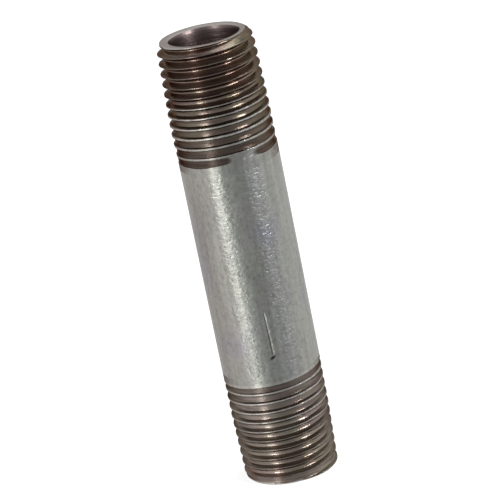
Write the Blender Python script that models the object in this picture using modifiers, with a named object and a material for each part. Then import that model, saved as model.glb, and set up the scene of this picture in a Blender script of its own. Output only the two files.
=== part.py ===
"""Galvanised steel pipe nipple: a short piece of pipe with a tapered right-hand thread cut on each end.

The pipe stands on its lower end, with its axis along +Z and the origin at the centre of that end.
The object is one length of steel pipe and the zinc that coats it outside and inside, so it has three
solids. Nothing on it moves.
"""

import math

import bmesh
import bpy

# The pipe: schedule 40, nominal size 1/4 inch. All sizes are in metres.
LENGTH = 0.0635
PIPE_OUTER_R = 0.013716 / 2
PIPE_BORE_R = 0.009246 / 2

# The zinc coat, and the hairline that the meshes keep where the real coat is bonded.
ZINC_THICKNESS = 0.00008
BOND_GAP = 0.00001
STEEL_R = PIPE_OUTER_R - ZINC_THICKNESS - BOND_GAP

# The ends: a chamfer outside, and a reamed mouth inside.
RIM_R = 0.00610
CHAMFER_HEIGHT = 0.00070
MOUTH_R = 0.00476
REAM_DEPTH = 0.00185
REAM_STEP = 0.00015

# The thread: 18 turns to the inch, 60 degrees, tapering 1 in 16 on the diameter.
PITCH = 0.0254 / 18
TAPER = 1 / 32
FLANK = math.tan(math.radians(30))
FLAT = 0.08 * PITCH
THREAD_DEPTH = (PITCH / 2 - FLAT) / FLANK
END_PITCH_R = 0.012126 / 2
ROOT_R = END_PITCH_R - THREAD_DEPTH / 2
CREST_R = END_PITCH_R + THREAD_DEPTH / 2
RUN_OUT = 3.5 * PITCH
UPPER_THREAD = 0.0171
LOWER_THREAD = 0.0150
UPPER_START = math.radians(28.125)
LOWER_START = math.radians(118.125)

# Facets about the axis. The threads start half a facet out of step with the pipe, so no edges coincide.
SEGMENTS = 32
WELD = 0.000001


def clear_scene():
    for obj in list(bpy.data.objects):
        bpy.data.objects.remove(obj)


def new_collection(name):
    collection = bpy.data.collections.new(name)
    bpy.context.scene.collection.children.link(collection)
    return collection


def metal(name, colour, metallic, roughness):
    """A Principled material in one colour."""
    material = bpy.data.materials.new(name)
    material.use_nodes = True
    shader = material.node_tree.nodes["Principled BSDF"]
    shader.inputs["Base Color"].default_value = (*colour, 1.0)
    shader.inputs["Metallic"].default_value = metallic
    shader.inputs["Roughness"].default_value = roughness
    material.diffuse_color = (*colour, 1.0)
    return material


def profile_mesh(name, points, closed):
    """Edges through (radius, height) points in the XZ plane."""
    mesh = bpy.data.meshes.new(name)
    ends = [(i, i + 1) for i in range(len(points) - 1)]
    if closed:
        ends.append((len(points) - 1, 0))
    mesh.from_pydata([(r, 0.0, z) for r, z in points], ends, [])
    return mesh


def add_object(name, mesh, collection):
    obj = bpy.data.objects.new(name, mesh)
    collection.objects.link(obj)
    return obj


def screw(obj, offset=0.0, turns=1):
    """Turn the profile about Z, rising by offset in each turn."""
    modifier = obj.modifiers.new("turn", "SCREW")
    modifier.axis = "Z"
    modifier.angle = math.tau
    modifier.screw_offset = offset
    modifier.iterations = turns
    modifier.steps = SEGMENTS
    modifier.render_steps = SEGMENTS
    modifier.use_merge_vertices = offset == 0.0
    modifier.merge_threshold = WELD


def turned(name, points, collection, material):
    """A solid of revolution from a closed profile, which runs down its outer side."""
    obj = add_object(name, profile_mesh(name, points, closed=True), collection)
    screw(obj)
    obj.data.materials.append(material)
    return obj


def close_end(bm, edges, radius, height):
    """Draw one open end of the threaded strip to a flat ring, and cap it."""
    new = bmesh.ops.extrude_edge_only(bm, edges=edges)["geom"]
    ring = [part for part in new if isinstance(part, bmesh.types.BMVert)]
    for vert in ring:
        turn = math.atan2(vert.co.y, vert.co.x)
        vert.co = (radius * math.cos(turn), radius * math.sin(turn), height)
    bmesh.ops.remove_doubles(bm, verts=ring, dist=WELD)
    rim = [e for e in bm.edges if e.is_boundary and all(abs(v.co.z - height) < WELD for v in e.verts)]
    bmesh.ops.contextual_create(bm, geom=rim)


def cut_to_thread(vert, thread_length):
    """Give a point of the straight thread its taper, and its place on the run-out.

    The last turns are cut by the chamfered teeth of the die. Their grooves keep the flanks of the
    full thread, and their flat floor gets wider as it rises, until it meets the pipe's surface.
    """
    radius = math.hypot(vert.co.x, vert.co.y)
    turn = math.atan2(vert.co.y, vert.co.x)
    height = vert.co.z
    tapered = radius + TAPER * height
    start = thread_length - RUN_OUT
    start_r = ROOT_R + TAPER * start
    floor = start_r + (STEEL_R - start_r) * (height - start) / RUN_OUT
    rise = floor - tapered
    if rise > 0:
        phase = (height / PITCH - turn / math.tau + 0.5) % 1.0 - 0.5
        if radius < END_PITCH_R:
            side = math.copysign(1.0, phase)
            height += side * min(rise, THREAD_DEPTH) * FLANK
        tapered = floor
    vert.co = (tapered * math.cos(turn), tapered * math.sin(turn), height)


def thread_rod(name, thread_length, collection):
    """A rod with the thread all the way along, wide open past the run-out, to trim a pipe's end with."""
    root, crest = FLAT / 2, PITCH / 2 - FLAT / 2
    points = [
        (ROOT_R, PITCH - root),
        (CREST_R, PITCH - crest),
        (CREST_R, crest),
        (ROOT_R, root),
        (ROOT_R, -root),
    ]
    strip = add_object(name + "_strip", profile_mesh(name, points, closed=False), collection)
    before, after = 2, 2
    turns = before + math.ceil(thread_length / PITCH) + after
    screw(strip, PITCH, turns)
    graph = bpy.context.evaluated_depsgraph_get()
    mesh = bpy.data.meshes.new_from_object(strip.evaluated_get(graph))
    bpy.data.objects.remove(strip)

    bm = bmesh.new()
    bm.from_mesh(mesh)
    bmesh.ops.remove_doubles(bm, verts=bm.verts, dist=WELD)
    bmesh.ops.translate(bm, verts=bm.verts, vec=(0.0, 0.0, -before * PITCH))
    middle = thread_length / 2
    lower = [e for e in bm.edges if e.is_boundary and e.verts[0].co.z < middle]
    upper = [e for e in bm.edges if e.is_boundary and e.verts[0].co.z > middle]
    for vert in bm.verts:
        cut_to_thread(vert, thread_length)
    flange_r = 1.5 * PIPE_OUTER_R
    close_end(bm, lower, flange_r, -(before + 0.2) * PITCH)
    close_end(bm, upper, flange_r, LENGTH + PITCH)
    bmesh.ops.recalc_face_normals(bm, faces=bm.faces)
    bm.to_mesh(mesh)
    bm.free()

    rod = add_object(name, mesh, collection)
    rod.hide_render = True
    rod.display_type = "WIRE"
    return rod


def keep_inside(obj, rod):
    """Leave only what obj shares with the rod."""
    modifier = obj.modifiers.new("cut_" + rod.name, "BOOLEAN")
    modifier.operation = "INTERSECT"
    modifier.solver = "EXACT"
    modifier.object = rod


def steel_pipe(parts, cutters):
    """The pipe itself, from end to end: chamfered, reamed and threaded."""
    step_foot = REAM_DEPTH + REAM_STEP
    pipe = turned(
        "steel_pipe",
        [
            (RIM_R, LENGTH),
            (STEEL_R, LENGTH - CHAMFER_HEIGHT),
            (STEEL_R, CHAMFER_HEIGHT),
            (RIM_R, 0.0),
            (MOUTH_R, 0.0),
            (MOUTH_R, REAM_DEPTH),
            (PIPE_BORE_R, step_foot),
            (PIPE_BORE_R, LENGTH - step_foot),
            (MOUTH_R, LENGTH - REAM_DEPTH),
            (MOUTH_R, LENGTH),
        ],
        parts,
        metal("cut_steel", (0.13, 0.10, 0.085), 0.9, 0.42),
    )
    lower = thread_rod("lower_thread", LOWER_THREAD, cutters)
    lower.rotation_euler.z = LOWER_START
    upper = thread_rod("upper_thread", UPPER_THREAD, cutters)
    upper.rotation_euler = (math.pi, 0.0, UPPER_START)
    upper.location.z = LENGTH
    keep_inside(pipe, lower)
    keep_inside(pipe, upper)


def zinc_coats(parts):
    """The zinc on the plain middle of the pipe, and the zinc in the bore between the reamed mouths."""
    zinc = metal("zinc_coat", (0.46, 0.47, 0.46), 0.85, 0.45)
    top, bottom = LENGTH - UPPER_THREAD, LOWER_THREAD
    inner = PIPE_OUTER_R - ZINC_THICKNESS
    turned(
        "outer_zinc_coat",
        [(PIPE_OUTER_R, top), (PIPE_OUTER_R, bottom), (inner, bottom), (inner, top)],
        parts,
        zinc,
    )
    outer = PIPE_BORE_R - BOND_GAP
    end = REAM_DEPTH + REAM_STEP
    turned(
        "bore_zinc_coat",
        [
            (outer, LENGTH - end),
            (outer, end),
            (outer - ZINC_THICKNESS, end),
            (outer - ZINC_THICKNESS, LENGTH - end),
        ],
        parts,
        zinc,
    )


def shade(collection):
    """Round surfaces smooth, edges sharp."""
    for obj in collection.objects:
        obj.data.shade_smooth()
        obj.data.set_sharp_from_angle(angle=math.radians(25))


clear_scene()
nipple = new_collection("pipe_nipple")
dies = new_collection("cutters")
steel_pipe(nipple, dies)
zinc_coats(nipple)
shade(nipple)
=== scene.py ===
"""Galvanised steel pipe nipple: a cut length of 1/4 inch pipe with a tapered thread on each end.

It stands on its lower end, on a plain pale floor. All sizes are in metres.
"""

import math

import bmesh
import bpy
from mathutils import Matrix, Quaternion, Vector, noise


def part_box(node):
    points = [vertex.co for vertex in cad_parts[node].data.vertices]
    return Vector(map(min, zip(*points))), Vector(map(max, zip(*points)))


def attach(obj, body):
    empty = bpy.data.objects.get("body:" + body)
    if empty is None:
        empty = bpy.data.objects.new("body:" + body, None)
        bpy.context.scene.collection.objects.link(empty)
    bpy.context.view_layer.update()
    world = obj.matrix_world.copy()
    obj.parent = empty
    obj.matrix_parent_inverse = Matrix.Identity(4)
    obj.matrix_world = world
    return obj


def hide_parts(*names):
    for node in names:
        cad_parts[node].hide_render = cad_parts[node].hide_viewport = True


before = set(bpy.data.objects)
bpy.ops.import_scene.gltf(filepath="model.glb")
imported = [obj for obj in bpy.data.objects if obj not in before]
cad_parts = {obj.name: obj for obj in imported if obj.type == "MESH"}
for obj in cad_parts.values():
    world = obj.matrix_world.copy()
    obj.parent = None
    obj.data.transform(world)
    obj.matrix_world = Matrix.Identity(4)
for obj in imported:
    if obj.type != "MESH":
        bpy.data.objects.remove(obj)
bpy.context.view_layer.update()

# The steel pipe --------------------------------------------------------------------------------
# A length of welded steel pipe, schedule 40, galvanised and then cut to length. A die has cut the
# bare steel threads, which are dark with cutting oil, and has left a thin line of the old zinc on
# top of the thread wherever it didn't reach full depth. The mouths are reamed.
PIPE_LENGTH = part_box("steel_pipe")[1].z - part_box("steel_pipe")[0].z
PIPE_R = 0.013716 / 2
BORE_R = 0.009246 / 2
MOUTH_R = 0.00478
REAM_FOOT = 0.0020
SKIN_THICKNESS = 0.00008
BOND_GAP = 0.00001
BURIED_R = PIPE_R - SKIN_THICKNESS - BOND_GAP

# The thread: 18 turns to the inch, 60 degrees, tapering 1 in 16 on the diameter.
PITCH = 0.0254 / 18
TAPER = 1 / 32
FLANK = math.tan(math.radians(30))
THREAD_DEPTH = (PITCH / 2 - 0.08 * PITCH) / FLANK
END_PITCH_R = 0.006063
CREST_R = END_PITCH_R + THREAD_DEPTH / 2
STEPS_PER_TURN = 144
STRIP_TURNS = 17

# Where the plain skin takes over from each thread, and where the last groove starts to fade into it
# and where it has gone, all measured from that end.
LOWER_SKIN = 0.0160
UPPER_SKIN = 0.0175
FADE_START = 0.0149
FADE_END = 0.0154

# How far the groove floors wander, how deep the top of the thread is nicked, the depth at which a
# groove counts as fully cut, and the angle over which the die rode up.
FLOOR_WANDER = 0.00003
NICK_DEPTH = 0.00003
FINE_NICK_DEPTH = 0.000016
FULLY_CUT = 0.0003
HIGH_SPOT_SPREAD = 0.34

# Half a pitch of the thread in rows, from the middle of a groove to the middle of a top. Each row is
# named by its share of the pitch. Floor and top rows give how far across they lie, and flank rows
# how far up. The worn rows are rubbed bright.
FLOOR_ROWS = {0.00: 0.0, 0.03: 0.55, 0.06: 1.0}
FLANK_ROWS = {0.12: 0.08, 0.20: 0.30, 0.28: 0.55, 0.36: 0.80, 0.41: 0.93}
TOP_ROWS = {0.44: 0.0, 0.47: 0.25, 0.50: 1.0}
WORN_ROWS = {0.36: 0.25, 0.41: 0.6, 0.44: 1.0, 0.47: 1.0, 0.50: 1.0}
HALF_ROWS = [*FLOOR_ROWS, *FLANK_ROWS, *TOP_ROWS]
GROOVE_ROWS = HALF_ROWS + [1.0 - row for row in reversed(HALF_ROWS[:-1])]
ROW_SLACK = 0.005

WELD = 1e-6
SAME_HEIGHT = 2e-6


def edit(piece, mode="VERT"):
    """Open a piece for editing with all of it selected."""
    bpy.ops.object.select_all(action="DESELECT")
    piece.select_set(True)
    bpy.context.view_layer.objects.active = piece
    bpy.ops.object.mode_set(mode="EDIT")
    bpy.ops.mesh.select_mode(type=mode)
    bpy.ops.mesh.select_all(action="SELECT")


def draw_profile(name, points):
    """Edges through (radius, height) points, drawn one after another from a single point."""
    bpy.ops.object.select_all(action="DESELECT")
    bpy.ops.mesh.primitive_plane_add(size=0.001)
    profile = bpy.context.object
    profile.name = profile.data.name = name
    bpy.ops.object.mode_set(mode="EDIT")
    bpy.ops.mesh.merge(type="CENTER")
    bpy.ops.transform.translate(value=(points[0][0], 0.0, points[0][1]))
    for (r0, z0), (r1, z1) in zip(points, points[1:]):
        step = (r1 - r0, 0.0, z1 - z0)
        bpy.ops.mesh.extrude_region_move(TRANSFORM_OT_translate={"value": step})
    bpy.ops.object.mode_set(mode="OBJECT")
    return profile


def turn_profile(profile, steps, rise=0.0, turns=1):
    """Turn the profile about the pipe's axis, rising in each turn, and weld the turns together."""
    screw = profile.modifiers.new("turn", "SCREW")
    screw.axis = "Z"
    screw.angle = math.tau
    screw.screw_offset = rise
    screw.iterations = turns
    screw.steps = screw.render_steps = steps
    bpy.ops.object.modifier_apply(modifier="turn")
    edit(profile)
    bpy.ops.mesh.remove_doubles(threshold=WELD)
    bpy.ops.mesh.normals_make_consistent(inside=False)
    bpy.ops.object.mode_set(mode="OBJECT")


def trim(piece, height, keep_above):
    """Cut a piece off square at a height."""
    edit(piece)
    bpy.ops.mesh.bisect(
        plane_co=(0.0, 0.0, height),
        plane_no=(0.0, 0.0, 1.0),
        clear_inner=keep_above,
        clear_outer=not keep_above,
        threshold=1e-7,
    )
    bpy.ops.object.mode_set(mode="OBJECT")


def select_open_loops(piece, *heights):
    """Select the open edges that lie at any of the heights."""
    edit(piece, "EDGE")
    bpy.ops.mesh.select_all(action="DESELECT")
    bm = bmesh.from_edit_mesh(piece.data)
    for edge in bm.edges:
        for height in heights:
            if edge.is_boundary and all(abs(v.co.z - height) < SAME_HEIGHT for v in edge.verts):
                edge.select_set(True)
    bm.select_flush_mode()
    bmesh.update_edit_mesh(piece.data)


def draw_on(piece, height, rings):
    """Draw an open loop on through rings, each a radius or a rule for one, and a height."""
    select_open_loops(piece, height)
    for radius, ring_height in rings:
        bpy.ops.mesh.extrude_region_move()
        bm = bmesh.from_edit_mesh(piece.data)
        for vert in bm.verts:
            if vert.select:
                turn = math.atan2(vert.co.y, vert.co.x)
                r = radius(math.hypot(vert.co.x, vert.co.y), turn) if callable(radius) else radius
                vert.co = (r * math.cos(turn), r * math.sin(turn), ring_height)
        bmesh.update_edit_mesh(piece.data)
    bpy.ops.object.mode_set(mode="OBJECT")


def finish_shape(piece):
    """Point every face outwards, and shade round surfaces smooth."""
    edit(piece)
    bpy.ops.mesh.normals_make_consistent(inside=False)
    bpy.ops.object.mode_set(mode="OBJECT")
    bpy.ops.object.shade_smooth_by_angle(angle=math.radians(40))


def smooth_step(value, low, high):
    """0 below low, 1 above high, and an even rise between them."""
    share = min(1.0, max(0.0, (value - low) / (high - low)))
    return share * share * (3.0 - 2.0 * share)


def along(points, value):
    """The height of a line through points at a value."""
    for (a, ha), (b, hb) in zip(points, points[1:]):
        if value <= b:
            return ha + (hb - ha) * max(0.0, (value - a) / (b - a))
    return points[-1][1]


def cut_thread(
    strip, groove_start, end_height, up, floors, tops, last_edge, high_spot, lean, lift, rim, seed
):
    """Give a strip of even turns the tapered thread of one end, and mark its worn edges.

    groove_start is the height of a groove's middle at angle 0, and up is 1 where the pipe rises from
    this end. By distance from the end, floors gives the groove floor's radius, tops half the width
    left on top of the thread, last_edge the widest a groove may open towards the skin, and rim the
    radius of the end's own edge. The die rode up at the high spot, an angle and a height. It leaned
    across the pipe by lean, and lift is how far it swelled the thread past the pipe's radius.
    """
    strip.location.z = groove_start
    bpy.ops.object.select_all(action="DESELECT")
    strip.select_set(True)
    bpy.context.view_layer.objects.active = strip
    bpy.ops.object.transform_apply(location=True, rotation=False, scale=False)
    wear = strip.data.attributes.new("worn_edge", "FLOAT", "POINT")
    for index, vert in enumerate(strip.data.vertices):
        turn = math.atan2(vert.co.y, vert.co.x)
        phase = ((vert.co.z - groove_start) / PITCH - turn / math.tau) % 1.0
        side = 1.0 if phase < 0.5 + ROW_SLACK or phase > 1.0 - ROW_SLACK else -1.0
        share = min(HALF_ROWS, key=lambda row: abs(row - min(phase, 1.0 - phase)))
        middle = vert.co.z - side * share * PITCH
        distance = (middle - end_height) * up
        towards_skin = side * up > 0

        # The groove floor and the top of the thread at this place.
        spot = Vector((math.cos(turn) * 3.0, math.sin(turn) * 3.0, middle * 900.0 + seed))
        away = (turn - high_spot[0] + math.pi) % math.tau - math.pi
        rode_up = high_spot[1] * math.exp(-((away / HIGH_SPOT_SPREAD) ** 2))
        rode_up *= smooth_step(distance, FADE_START, FADE_END)
        floor = along(floors, distance) + FLOOR_WANDER * noise.noise(spot) + rode_up
        swelled = smooth_step(distance, -0.0010, 0.0005) * (1.0 - smooth_step(distance, 0.0130, 0.0155))
        crest = CREST_R + TAPER * (distance + side * up * PITCH / 2)
        crest = min(crest, PIPE_R + lift * swelled)
        floor = min(floor, crest)
        cut_depth = crest - floor
        cut_share = min(1.0, cut_depth / FULLY_CUT)
        crest_half = PITCH / 2 - along(tops, distance)
        if towards_skin:
            crest_half = min(crest_half, along(last_edge, distance))
        floor_half = max(0.00003, crest_half - 0.00001 - cut_depth * FLANK)

        if share in FLOOR_ROWS:
            across = FLOOR_ROWS[share]
            half = floor_half * across
            hollow = 0.25 * floor_half * min(1.0, cut_depth / 0.0006)
            radius = floor - hollow * (1.0 - across * across)
        elif share in TOP_ROWS:
            half = crest_half + (PITCH / 2 - crest_half) * TOP_ROWS[share]
            nick = noise.noise(Vector((turn * 9.0, middle * 1400.0, seed)))
            fine = noise.noise(Vector((turn * 26.0, middle * 3000.0, seed + 5.0)))
            nicked = NICK_DEPTH * max(0.0, nick - 0.1) + FINE_NICK_DEPTH * max(0.0, fine)
            radius = crest - cut_share * nicked
            if share < 0.5:
                half += cut_share * NICK_DEPTH * fine
        else:
            half = floor_half + (crest_half - floor_half) * FLANK_ROWS[share]
            radius = floor + cut_depth * FLANK_ROWS[share]
        if towards_skin and distance > FADE_START:
            half *= 0.4 + 0.6 * smooth_step(cut_depth, 0.00002, 0.00010)

        height = middle + side * half
        chamfer = along(rim, (height - end_height) * up)
        exposed = 1.0 if radius < chamfer else 0.15
        wear.data[index].value = WORN_ROWS.get(share, 0.0) * cut_share * exposed
        radius = min(radius, chamfer)
        x, y = radius * math.cos(turn), radius * math.sin(turn)
        vert.co = (x, y, height + lean * x)


strip_profile = [(PIPE_R, share * PITCH) for share in reversed(GROOVE_ROWS)]
lower_strip = draw_profile("lower_strip", strip_profile)
turn_profile(lower_strip, STEPS_PER_TURN, rise=PITCH, turns=STRIP_TURNS)

bpy.ops.object.select_all(action="DESELECT")
lower_strip.select_set(True)
bpy.ops.object.duplicate()
upper_strip = bpy.context.object
upper_strip.name = "upper_strip"

# Groove heights at angle 0, and the shapes of the two threads by distance from their ends.
LOWER_GROOVE = 0.000957
UPPER_GROOVE = 0.000016
turns_below_end = 3
cut_thread(
    lower_strip,
    LOWER_GROOVE - turns_below_end * PITCH,
    0.0,
    1,
    floors=[
        (0.0, 0.00660), (0.0005, 0.00640), (0.0011, 0.00600), (0.0050, 0.00612),
        (0.0095, 0.00632), (0.0125, 0.00650), (0.0150, 0.00670), (0.0155, 0.00688),
    ],
    tops=[(0.0, 0.00005), (0.0080, 0.00006), (0.0150, 0.00010)],
    last_edge=[(0.0, 0.00066), (0.0134, 0.00066), (0.0141, 0.00032)],
    high_spot=(0.0, 0.0),
    lean=0.0108,
    lift=0.0,
    rim=[(0.0, 0.00671), (0.00008, 0.00678), (0.00020, 0.00690), (0.00030, 0.00700)],
    seed=3.0,
)
turns_to_upper = math.floor((PIPE_LENGTH - UPPER_SKIN) / PITCH) - 2
cut_thread(
    upper_strip,
    UPPER_GROOVE + turns_to_upper * PITCH,
    PIPE_LENGTH,
    -1,
    floors=[
        (0.0, 0.00556), (0.0050, 0.00580), (0.0085, 0.00626),
        (0.0120, 0.00656), (0.0155, 0.00675), (0.0172, 0.00687),
    ],
    tops=[(0.0, 0.00005), (0.0080, 0.00006), (0.0150, 0.00012)],
    last_edge=[(0.0, 0.00066)],
    high_spot=(math.radians(-73.0), 0.00009),
    lean=0.0,
    lift=0.00005,
    rim=[(0.0, 0.00605), (0.00055, 0.00612), (0.00080, 0.00650), (0.00100, 0.00700)],
    seed=41.0,
)

# The strips are cut to length, and their inner ends are drawn in under the skin.
LOWER_BEVEL = 0.00016
trim(lower_strip, LOWER_BEVEL, keep_above=True)
trim(lower_strip, LOWER_SKIN, keep_above=False)
trim(upper_strip, PIPE_LENGTH - UPPER_SKIN, keep_above=True)
trim(upper_strip, PIPE_LENGTH, keep_above=False)
draw_on(lower_strip, LOWER_SKIN, [(BURIED_R, LOWER_SKIN)])
draw_on(upper_strip, PIPE_LENGTH - UPPER_SKIN, [(BURIED_R, PIPE_LENGTH - UPPER_SKIN)])


def end_rings(end_height, up):
    """The flat end face, a small rounded lip at the mouth, and the reamed mouth down to the bore."""

    def wander(turn):
        place = Vector((math.cos(turn) * 2.0, math.sin(turn) * 2.0, end_height * 900.0))
        return 0.00003 * noise.noise(place)

    return [
        (lambda r, turn: r - 0.00010 - 0.2 * (r - 0.0056), end_height - up * 0.00002),
        (lambda r, turn: MOUTH_R + 0.00032 + wander(turn), end_height - up * 0.00001),
        (lambda r, turn: MOUTH_R + 0.00012 + wander(turn), end_height + up * 0.00004),
        (lambda r, turn: MOUTH_R + wander(turn), end_height + up * 0.00022),
        (MOUTH_R - 0.00002, end_height + up * 0.00070),
        (BORE_R, end_height + up * REAM_FOOT),
    ]


draw_on(lower_strip, LOWER_BEVEL, [(lambda r, turn: r - 0.00013, 0.0)] + end_rings(0.0, 1))
draw_on(upper_strip, PIPE_LENGTH, end_rings(PIPE_LENGTH, -1))

# The two ends are joined, then bridged under the skin and along the bore.
bpy.ops.object.select_all(action="DESELECT")
lower_strip.select_set(True)
upper_strip.select_set(True)
bpy.context.view_layer.objects.active = lower_strip
bpy.ops.object.join()
pipe = lower_strip
pipe.name = pipe.data.name = "threaded_pipe"

select_open_loops(pipe, LOWER_SKIN, PIPE_LENGTH - UPPER_SKIN)
bpy.ops.mesh.bridge_edge_loops()
bpy.ops.object.mode_set(mode="OBJECT")
select_open_loops(pipe, REAM_FOOT, PIPE_LENGTH - REAM_FOOT)
bpy.ops.mesh.bridge_edge_loops()
bpy.ops.object.mode_set(mode="OBJECT")


def bend_top(piece):
    """The die has pushed the upper end a little to one side."""
    for vert in piece.data.vertices:
        vert.co.x -= 0.00009 * smooth_step(vert.co.z, 0.0470, 0.0505)


# Marks that the steel's finish reads at each point: how much old zinc is left on it, how deep in a
# groove it lies, and whether it is on a sawn end face or in a reamed mouth.
marks = ("old_zinc", "groove_depth", "sawn", "reamed")
for mark in marks:
    pipe.data.attributes.new(mark, "FLOAT", "POINT")
old_zinc, groove_depth, sawn, reamed = [pipe.data.attributes[mark] for mark in marks]
for index, vert in enumerate(pipe.data.vertices):
    radius = math.hypot(vert.co.x, vert.co.y)
    end_gap = min(vert.co.z, PIPE_LENGTH - vert.co.z)
    nearly_skin = smooth_step(radius, PIPE_R - 0.00006, PIPE_R - 0.000035)
    worn = 0.55 + 0.45 * smooth_step(end_gap, 0.0070, 0.0120)
    patch = noise.noise(Vector((vert.co.x * 300.0, vert.co.y * 300.0, vert.co.z * 500.0)))
    old_zinc.data[index].value = nearly_skin * min(1.0, worn + 0.3 * patch)
    groove_depth.data[index].value = min(1.0, max(0.0, (PIPE_R - radius) / 0.0012))
    on_face = end_gap < 0.00006 or vert.co.z < LOWER_BEVEL + 0.00001
    sawn.data[index].value = 1.0 if on_face and radius > MOUTH_R + 0.00005 else 0.0
    reamed.data[index].value = 1.0 if radius < MOUTH_R + 0.00004 else 0.0
bend_top(pipe)
finish_shape(pipe)


def new_finish(name):
    finish = bpy.data.materials.new(name)
    finish.use_nodes = True
    tree = finish.node_tree
    shader = tree.nodes["Principled BSDF"]
    coords = tree.nodes.new("ShaderNodeTexCoord").outputs["Object"]
    return finish, tree, shader, coords


def pattern(tree, coords, scale, detail, roughness, stretch=(1.0, 1.0, 1.0)):
    """A noise pattern. A stretch under 1 draws it out along that axis."""
    mapping = tree.nodes.new("ShaderNodeMapping")
    mapping.inputs["Scale"].default_value = stretch
    tree.links.new(coords, mapping.inputs["Vector"])
    made = tree.nodes.new("ShaderNodeTexNoise")
    tree.links.new(mapping.outputs["Vector"], made.inputs["Vector"])
    made.inputs["Scale"].default_value = scale
    made.inputs["Detail"].default_value = detail
    made.inputs["Roughness"].default_value = roughness
    return made.outputs[0]


def ramp(tree, source, stops):
    """Colours by value, from stops of a place and a colour."""
    made = tree.nodes.new("ShaderNodeValToRGB")
    while len(made.color_ramp.elements) < len(stops):
        made.color_ramp.elements.new(0.5)
    for element, (place, colour) in zip(made.color_ramp.elements, stops):
        element.position = place
        element.color = (*colour, 1.0)
    tree.links.new(source, made.inputs["Fac"])
    return made.outputs["Color"]


def grey(tone):
    return (tone, tone, tone)


def rescale(tree, source, low, high, new_low=0.0, new_high=1.0):
    """A value between low and high, moved to lie between new_low and new_high."""
    made = tree.nodes.new("ShaderNodeMapRange")
    tree.links.new(source, made.inputs["Value"])
    made.inputs["From Min"].default_value = low
    made.inputs["From Max"].default_value = high
    made.inputs["To Min"].default_value = new_low
    made.inputs["To Max"].default_value = new_high
    return made.outputs["Result"]


def fill(tree, made, values):
    """Link or set a mixer's sockets in order, and return its result."""
    for socket, value in zip([s for s in made.inputs if s.enabled], values):
        if isinstance(value, bpy.types.NodeSocket):
            tree.links.new(value, socket)
        else:
            socket.default_value = value
    return [s for s in made.outputs if s.enabled][0]


def mix_colours(tree, way, factor, first, second):
    made = tree.nodes.new("ShaderNodeMix")
    made.data_type = "RGBA"
    made.blend_type = way
    return fill(tree, made, (factor, first, second))


def mix_values(tree, factor, first, second):
    made = tree.nodes.new("ShaderNodeMix")
    made.data_type = "FLOAT"
    return fill(tree, made, (factor, first, second))


def read_mark(tree, name):
    reader = tree.nodes.new("ShaderNodeAttribute")
    reader.attribute_name = name
    return reader.outputs["Fac"]


def side_to_side(tree, coords):
    """0 at the pipe's left side and 1 at its right, and the pipe's height."""
    place = tree.nodes.new("ShaderNodeSeparateXYZ")
    tree.links.new(coords, place.inputs["Vector"])
    return rescale(tree, place.outputs["X"], -0.0068, 0.0068), place.outputs["Z"]


def zinc_surface(tree, coords):
    """Nodes for galvanised pipe: (colour, roughness, height) sockets of the zinc."""
    cold_zinc, green_zinc = (0.475, 0.455, 0.44), (0.50, 0.51, 0.475)
    plain_zinc, blue_zinc = (0.50, 0.50, 0.475), (0.455, 0.455, 0.485)
    clouds = pattern(tree, coords, 150.0, 2.0, 0.5, (1.0, 1.0, 0.6))
    colour = ramp(
        tree, clouds, [(0.30, cold_zinc), (0.45, green_zinc), (0.58, plain_zinc), (0.70, blue_zinc)]
    )
    drawn = pattern(tree, coords, 1300.0, 3.0, 0.6, (1.0, 1.0, 0.07))
    streaks = ramp(tree, drawn, [(0.30, grey(0.84)), (0.64, grey(1.08))])
    colour = mix_colours(tree, "MULTIPLY", 1.0, colour, streaks)
    mottle = pattern(tree, coords, 2100.0, 4.0, 0.65, (1.0, 1.0, 0.7))
    specks = ramp(tree, mottle, [(0.33, (0.55, 0.55, 0.54)), (0.46, grey(0.93)), (0.66, grey(1.14))])
    colour = mix_colours(tree, "MULTIPLY", 0.5, colour, specks)
    # Tinted slightly pink on the pipe's left side and slightly blue towards its right.
    sideways, _ = side_to_side(tree, coords)
    side_tint = ramp(
        tree,
        sideways,
        [
            (0.05, (1.04, 0.97, 0.96)), (0.25, (1.01, 0.98, 0.97)), (0.38, (0.99, 1.01, 0.98)),
            (0.60, (0.97, 0.98, 0.99)), (0.70, (0.95, 0.96, 1.01)), (0.85, (1.0, 1.0, 0.98)),
        ],
    )
    colour = mix_colours(tree, "MULTIPLY", 1.0, colour, side_tint)
    bumps = pattern(tree, coords, 2400.0, 2.0, 0.5, (0.75, 0.75, 1.35))
    waves = pattern(tree, coords, 1000.0, 2.0, 0.5)
    height = mix_values(tree, 0.35, bumps, waves)
    height = mix_values(tree, 0.12, height, drawn)
    return colour, rescale(tree, bumps, 0.3, 0.7, 0.21, 0.36), height


def finish_surface(tree, shader, colour, roughness, height, depth):
    """Give a metal its colour, its roughness, and bumps of a depth."""
    bump = tree.nodes.new("ShaderNodeBump")
    bump.inputs["Strength"].default_value = 1.0
    bump.inputs["Distance"].default_value = depth
    tree.links.new(height, bump.inputs["Height"])
    tree.links.new(bump.outputs["Normal"], shader.inputs["Normal"])
    tree.links.new(colour, shader.inputs["Base Color"])
    tree.links.new(roughness, shader.inputs["Roughness"])
    shader.inputs["Metallic"].default_value = 1.0


# Bare steel, stained in patches by oil and rust and lined by the tool.
cut_steel, tree, shader, coords = new_finish("cut_steel")
rust, oil = (0.170, 0.115, 0.093), (0.205, 0.165, 0.148)
brown, olive = (0.200, 0.172, 0.146), (0.215, 0.195, 0.155)
stain = pattern(tree, coords, 260.0, 3.0, 0.6, (1.0, 1.0, 0.7))
steel = ramp(tree, stain, [(0.28, rust), (0.42, oil), (0.56, brown), (0.74, olive)])
tool_lines = pattern(tree, coords, 1000.0, 3.0, 0.6, (0.18, 0.18, 4.0))
lined = ramp(tree, tool_lines, [(0.3, (0.62, 0.61, 0.60)), (0.66, grey(1.32))])
steel = mix_colours(tree, "MULTIPLY", 1.0, steel, lined)
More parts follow.
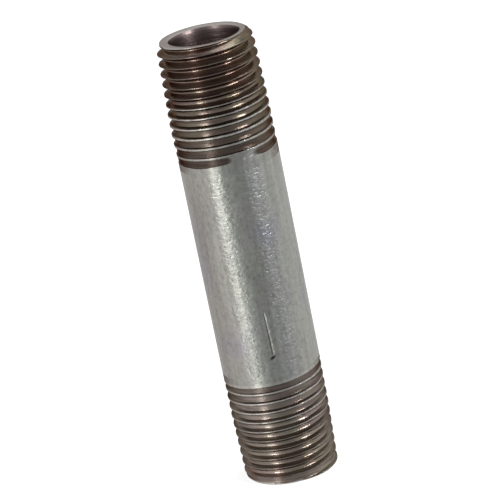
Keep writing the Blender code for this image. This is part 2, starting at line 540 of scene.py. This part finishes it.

# The steel is painted lighter the deeper it lies, a painted fill light against the shade in the
# grooves, so the shallow last grooves are darker than the deep ones. Worn edges are rubbed bright.
# Painted fill light: the deeper points of the grooves are made lighter.
depth_fill_light = ramp(
    tree,
    read_mark(tree, "groove_depth"),
    [
        (0.0, (0.66, 0.64, 0.64)), (0.15, (0.75, 0.74, 0.74)), (0.30, grey(1.05)),
        (0.55, grey(1.45)), (1.0, (1.80, 1.78, 1.76)),
    ],
)
steel = mix_colours(tree, "MULTIPLY", 1.0, steel, depth_fill_light)
worn_edge = read_mark(tree, "worn_edge")
rubbed = ramp(tree, worn_edge, [(0.0, grey(1.0)), (1.0, (1.9, 2.0, 2.05))])
steel = mix_colours(tree, "MULTIPLY", 1.0, steel, rubbed)

# The lower thread is lighter than the upper one. The upper thread is painted darker and redder on
# its left side as shade, and lighter and more olive on its right side as painted light.
sideways, height_up = side_to_side(tree, coords)
up_the_pipe = rescale(tree, height_up, 0.0, 0.034)
# Lighter on the lower thread than on the upper one.
height_tone = ramp(
    tree,
    up_the_pipe,
    [
        (0.10, (1.09, 1.10, 1.08)), (0.40, (1.30, 1.34, 1.34)),
        (0.90, (1.20, 1.23, 1.23)), (1.0, (0.83, 0.79, 0.78)),
    ],
)
steel = mix_colours(tree, "MULTIPLY", 1.0, steel, height_tone)
upper_end = ramp(tree, up_the_pipe, [(0.90, grey(0.0)), (1.0, grey(1.0))])
# Painted shade on the upper thread's left side and painted light on its right.
side_light_and_shade = ramp(tree, sideways, [(0.0, (0.88, 0.82, 0.80)), (0.5, grey(1.0)), (1.0, (1.22, 1.26, 1.14))])
steel = mix_colours(tree, "MULTIPLY", upper_end, steel, side_light_and_shade)

sawn_steel, reamed_steel = (0.86, 0.83, 0.80, 1.0), (0.23, 0.18, 0.175, 1.0)
in_mouth = read_mark(tree, "reamed")
steel = mix_colours(tree, "MIX", read_mark(tree, "sawn"), steel, sawn_steel)
steel = mix_colours(tree, "MIX", in_mouth, steel, reamed_steel)
steel_rough = ramp(tree, stain, [(0.3, grey(0.17)), (0.7, grey(0.27))])
steel_rough = mix_values(tree, in_mouth, steel_rough, 0.36)
grit = pattern(tree, coords, 3000.0, 3.0, 0.6)
steel_height = mix_values(tree, 0.4, tool_lines, grit)

# The line of old zinc is burnished where it lies on a worn edge.
zinc, zinc_rough, zinc_height = zinc_surface(tree, coords)
zinc = mix_colours(tree, "MULTIPLY", worn_edge, zinc, (1.46, 1.38, 1.38, 1.0))
on_zinc = read_mark(tree, "old_zinc")
finish_surface(
    tree,
    shader,
    mix_colours(tree, "MIX", on_zinc, steel, zinc),
    mix_values(tree, on_zinc, steel_rough, zinc_rough),
    mix_values(tree, on_zinc, steel_height, zinc_height),
    0.000060,
)
shader.inputs["Specular Tint"].default_value = (0.36, 0.31, 0.29, 1.0)
pipe.data.materials.append(cut_steel)
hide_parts("steel_pipe")
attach(pipe, "root")

# The zinc skin on the plain middle ---------------------------------------------------------------
# Hot-dip zinc on the outside of the pipe, wiped while it was wet, so it is grey, mottled and drawn
# along the pipe. It carries one long score from handling, with a small pit at its foot.
SKIN_STEPS, SKIN_ROWS = 288, 84
skin_foot, skin_top = LOWER_SKIN, PIPE_LENGTH - UPPER_SKIN
skin_inner = PIPE_R - SKIN_THICKNESS
outside = [(PIPE_R, skin_top + (skin_foot - skin_top) * i / SKIN_ROWS) for i in range(SKIN_ROWS + 1)]
underside = [(skin_inner, skin_foot), (skin_inner, skin_top), (PIPE_R, skin_top)]
skin = draw_profile("zinc_skin", outside + underside)
turn_profile(skin, SKIN_STEPS)

SCORE_ANGLE = math.radians(274.6)
SCORE_FOOT, SCORE_TOP = 0.0193, 0.0276
SCORE_WIDTH, SCORE_DEPTH = 0.00021, 0.000072
SCORE_DRIFT = 0.00018
LIP_HEIGHT = 0.000012
PIT_LENGTH, PIT_WIDTH, PIT_DEPTH = 0.00036, 0.00015, 0.000045
THINNER = 0.40

# The faces around the score are made finer, so that it can be cut into them.
edit(skin, "FACE")
bpy.ops.mesh.select_all(action="DESELECT")
bm = bmesh.from_edit_mesh(skin.data)
for face in bm.faces:
    middle = face.calc_center_median()
    turn = math.atan2(middle.y, middle.x) % math.tau
    on_outside = math.hypot(middle.x, middle.y) > PIPE_R - 0.00001
    beside = abs(turn - SCORE_ANGLE) < math.radians(5.5)
    if on_outside and beside and SCORE_FOOT - 0.0008 < middle.z < SCORE_TOP + 0.0004:
        face.select_set(True)
bmesh.update_edit_mesh(skin.data)
bpy.ops.mesh.subdivide(number_cuts=5, smoothness=0.0)
bpy.ops.object.mode_set(mode="OBJECT")

# The score gets thinner and drifts aside as it rises, and has a raised lip on its right. The pit
# lies aslant at its foot. The score's left side and the pit are darkened with painted shade.
painted_shade = skin.data.attributes.new("painted_shade", "FLOAT", "POINT")
for vert in skin.data.vertices:
    radius = math.hypot(vert.co.x, vert.co.y)
    if radius < PIPE_R - 0.00002:
        continue
    around = (math.atan2(vert.co.y, vert.co.x) % math.tau - SCORE_ANGLE) * PIPE_R
    rise = smooth_step(vert.co.z, SCORE_FOOT, SCORE_TOP)
    thin = 1.0 - THINNER * rise
    ends = smooth_step(vert.co.z, SCORE_FOOT, SCORE_FOOT + 0.0003)
    ends *= 1.0 - smooth_step(rise, 0.75, 1.0)
    wander = 0.00002 * noise.noise(Vector((0.0, 0.0, vert.co.z * 900.0))) - SCORE_DRIFT * rise
    across = (around - wander) / (SCORE_WIDTH * thin)
    score = max(0.0, 1.0 - across if across > 0.0 else 1.0 + across / 0.3) * ends * thin
    lip = math.exp(-(((across - 1.2) / 0.25) ** 2)) * ends
    pit_x, pit_z = around + 0.00014, vert.co.z - SCORE_FOOT + 0.00025
    pit_along, pit_across = 0.84 * pit_x + 0.54 * pit_z, 0.84 * pit_z - 0.54 * pit_x
    pit = math.exp(-((pit_along / PIT_LENGTH) ** 2) - ((pit_across / PIT_WIDTH) ** 2))
    radius = PIPE_R - SCORE_DEPTH * score + LIP_HEIGHT * lip - PIT_DEPTH * pit
    turn = math.atan2(vert.co.y, vert.co.x)
    vert.co.x, vert.co.y = radius * math.cos(turn), radius * math.sin(turn)
    # Painted shade: the score's left side, which faces away from the light, and the pit are darkened.
    shade = math.exp(-(((across + 0.45) / 0.45) ** 2)) * ends
    painted_shade.data[vert.index].value = min(1.0, 0.8 * shade + 2.2 * pit)
finish_shape(skin)

galvanised, tree, shader, coords = new_finish("galvanised_skin")
zinc, zinc_rough, zinc_height = zinc_surface(tree, coords)
painted_shade_colour = (0.06, 0.055, 0.05, 1.0)
# Painted shade darkens the score's left side and the pit.
zinc = mix_colours(tree, "MIX", read_mark(tree, "painted_shade"), zinc, painted_shade_colour)
finish_surface(tree, shader, zinc, zinc_rough, zinc_height, 0.00012)
skin.data.materials.append(galvanised)
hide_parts("outer_zinc_coat")
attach(skin, "root")

# The zinc in the bore ----------------------------------------------------------------------------
# The same coat inside the pipe, thicker and rougher where it ran, between the two reamed mouths.
LINING_STEPS, LINING_ROWS = 144, 60
RUN_HEIGHT = 0.00005
lining_outer = BORE_R - BOND_GAP
lining_inner = lining_outer - SKIN_THICKNESS
lining_foot, lining_top = REAM_FOOT, PIPE_LENGTH - REAM_FOOT
lining_span = lining_top - lining_foot
inside = [(lining_inner, lining_foot + lining_span * i / LINING_ROWS) for i in range(LINING_ROWS + 1)]
bonded = [(lining_outer, lining_top), (lining_outer, lining_foot), (lining_inner, lining_foot)]
lining = draw_profile("bore_zinc", inside + bonded)
turn_profile(lining, LINING_STEPS)
for vert in lining.data.vertices:
    radius = math.hypot(vert.co.x, vert.co.y)
    if radius < lining_inner + 0.00001:
        turn = math.atan2(vert.co.y, vert.co.x)
        spot = Vector((math.cos(turn) * 2.2, math.sin(turn) * 2.2, vert.co.z * 260.0))
        radius -= RUN_HEIGHT * max(0.0, noise.noise(spot))
        vert.co.x, vert.co.y = radius * math.cos(turn), radius * math.sin(turn)
bend_top(lining)
finish_shape(lining)

bore_finish, tree, shader, coords = new_finish("bore_zinc_finish")
zinc, zinc_rough, zinc_height = zinc_surface(tree, coords)
zinc = mix_colours(tree, "MULTIPLY", 1.0, zinc, (1.35, 1.15, 1.12, 1.0))
finish_surface(tree, shader, zinc, zinc_rough, zinc_height, 0.000030)
lining.data.materials.append(bore_finish)
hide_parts("bore_zinc_coat")
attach(lining, "root")

# The floor, the light and the camera ---------------------------------------------------------------
# A plain pale floor in a soft grey tent, which is darkest behind the camera. Two strip lights stand
# to the left, one low and one high, a third to the right, and a wide soft light above and behind.
# The metal doesn't show the floor, so the low strip light can reach below it.
bpy.ops.object.select_all(action="DESELECT")
bpy.ops.mesh.primitive_plane_add(size=6.0)
floor = bpy.context.object
floor.name = "floor"
floor_finish, tree, shader, coords = new_finish("pale_floor")
shader.inputs["Base Color"].default_value = (0.85, 0.85, 0.85, 1.0)
shader.inputs["Roughness"].default_value = 0.8
shader.inputs["Emission Color"].default_value = (1.0, 1.0, 1.0, 1.0)
shader.inputs["Emission Strength"].default_value = 0.62
floor.data.materials.append(floor_finish)
floor.visible_glossy = False

# The tent's walls by compass direction, from behind the pipe round by the left, the camera and the
# right to behind it again, and its ceiling.
tent = bpy.data.worlds.new("tent")
bpy.context.scene.world = tent
tent.use_nodes = True
tree = tent.node_tree
nodes, links = tree.nodes, tree.links
nodes.clear()
direction = nodes.new("ShaderNodeTexCoord")
split = nodes.new("ShaderNodeSeparateXYZ")
links.new(direction.outputs["Generated"], split.inputs["Vector"])
towards_camera = nodes.new("ShaderNodeMath")
towards_camera.operation = "MULTIPLY"
towards_camera.inputs[1].default_value = -1.0
links.new(split.outputs["Y"], towards_camera.inputs[0])
compass = nodes.new("ShaderNodeMath")
compass.operation = "ARCTAN2"
links.new(split.outputs["X"], compass.inputs[0])
links.new(towards_camera.outputs["Value"], compass.inputs[1])
walls = ramp(
    tree,
    rescale(tree, compass.outputs["Value"], -math.pi, math.pi),
    [
        (0.0, grey(0.58)), (0.2, grey(0.55)), (0.3, grey(0.72)), (0.375, grey(0.75)),
        (0.45, grey(0.42)), (0.5, grey(0.33)), (0.575, grey(0.34)), (0.675, grey(0.50)),
        (0.75, grey(0.62)), (0.85, grey(0.64)), (1.0, grey(0.60)),
    ],
)
overhead = rescale(tree, split.outputs["Z"], 0.35, 0.9)
tent_light = nodes.new("ShaderNodeBackground")
ceiling = (0.45, 0.45, 0.45, 1.0)
links.new(mix_colours(tree, "MIX", overhead, walls, ceiling), tent_light.inputs["Color"])
backdrop = nodes.new("ShaderNodeBackground")
backdrop.inputs["Color"].default_value = (1.0, 1.0, 1.0, 1.0)
seen = nodes.new("ShaderNodeLightPath")
choice = nodes.new("ShaderNodeMixShader")
links.new(seen.outputs["Is Camera Ray"], choice.inputs["Fac"])
links.new(tent_light.outputs["Background"], choice.inputs[1])
links.new(backdrop.outputs["Background"], choice.inputs[2])
tent_out = nodes.new("ShaderNodeOutputWorld")
links.new(choice.outputs["Shader"], tent_out.inputs["Surface"])


def add_light(name, place, aim, width, height, power):
    light = bpy.data.lights.new(name, "AREA")
    light.shape = "RECTANGLE"
    light.size, light.size_y = width, height
    light.energy = power
    lamp = bpy.data.objects.new(name, light)
    bpy.context.scene.collection.objects.link(lamp)
    lamp.location = place
    lamp.rotation_mode = "QUATERNION"
    lamp.rotation_quaternion = (Vector(aim) - Vector(place)).to_track_quat("-Z", "Y")
    lamp.visible_camera = False


left_way = Vector((-math.sin(math.radians(41.5)), -math.cos(math.radians(41.5)), 0.0))
right_way = Vector((math.sin(math.radians(50.0)), -math.cos(math.radians(50.0)), 0.0))
back_way = Vector((0.29, 0.29, 0.91)).normalized()
pipe_middle = Vector((0.0, 0.0, 0.03))
low_aim = Vector((0.0, 0.0, -0.15))
add_light("strip_light", 0.5 * left_way + low_aim, low_aim, 0.09, 0.40, 0.15)
add_light("left_light", 0.5 * left_way + Vector((0.0, 0.0, 0.16)), pipe_middle, 0.06, 0.26, 0.45)
add_light("right_light", 0.6 * right_way + Vector((0.0, 0.0, 0.22)), pipe_middle, 0.12, 0.28, 1.6)
add_light("back_light", 0.6 * back_way + pipe_middle, pipe_middle, 0.24, 0.24, 0.35)

# The camera looks down at the pipe from in front, and is rolled, so that the pipe leans in the view.
CAMERA_FOCUS = Vector((0.00027, 0.0, 0.03256))
CAMERA_DISTANCE = 0.3637
CAMERA_ELEVATION = math.radians(18.79)
CAMERA_ROLL = math.radians(-11.50)
camera_data = bpy.data.cameras.new("camera")
camera_data.lens = 191.4
camera_data.sensor_width = 36.0
camera_data.clip_start = 0.01
camera_data.clip_end = 20.0
camera = bpy.data.objects.new("camera", camera_data)
bpy.context.scene.collection.objects.link(camera)
back = Vector((0.0, -math.cos(CAMERA_ELEVATION), math.sin(CAMERA_ELEVATION)))
camera.location = CAMERA_FOCUS + CAMERA_DISTANCE * back
camera.rotation_mode = "QUATERNION"
aim = (-back).to_track_quat("-Z", "Y")
camera.rotation_quaternion = aim @ Quaternion((0.0, 0.0, 1.0), CAMERA_ROLL)
bpy.context.scene.camera = camera

bpy.context.scene.view_settings.view_transform = "Standard"
